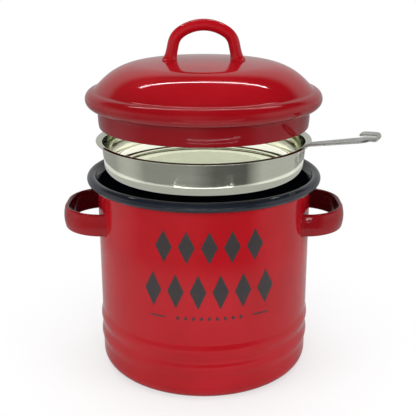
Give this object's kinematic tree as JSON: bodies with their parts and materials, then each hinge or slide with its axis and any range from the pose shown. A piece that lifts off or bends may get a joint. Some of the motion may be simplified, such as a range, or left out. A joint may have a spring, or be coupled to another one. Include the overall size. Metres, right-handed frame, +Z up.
{
  "type": "bacon grease container",
  "caption": "Round enamelled canister with a rolled rim and side loop handles, a lift-out strainer with a flat hooked handle, and a domed lid with an arched grip.",
  "frame": {"origin": "centre of the canister's flat base, on the surface it stands on", "axes": "+Z up along the canister's axis, +X towards the right side handle and the strainer's handle, -Y towards the viewer"},
  "size_m": [0.1895, 0.146, 0.2185],
  "materials": {
    "red_enamel": "glossy vitreous enamel",
    "black_enamel": "glossy black vitreous enamel",
    "polished_steel": "mirror-polished stainless steel",
    "satin_steel": "satin stainless steel"
  },
  "bodies": {
    "canister": {"canister_shell": "red_enamel", "canister_lining": "black_enamel", "left_handle": "red_enamel", "right_handle": "red_enamel"},
    "strainer": {"strainer_bowl": "polished_steel", "strainer_screen": "satin_steel", "strainer_handle": "satin_steel", "strainer_bracket": "satin_steel", "strainer_welds": "satin_steel"},
    "lid": {"lid_shell": "red_enamel", "lid_lining": "black_enamel", "lid_collar": "red_enamel", "lid_handle": "red_enamel"}
  },
  "joints": [
    {"name": "strainer_lift", "type": "slide", "parent": "canister", "child": "strainer", "axis": [0, 0, 1], "range_m": [-0.022, 0]},
    {"name": "lid_lift", "type": "slide", "parent": "strainer", "child": "lid", "axis": [0, 0, 1], "range_m": [-0.0084, 0.008]}
  ]
}
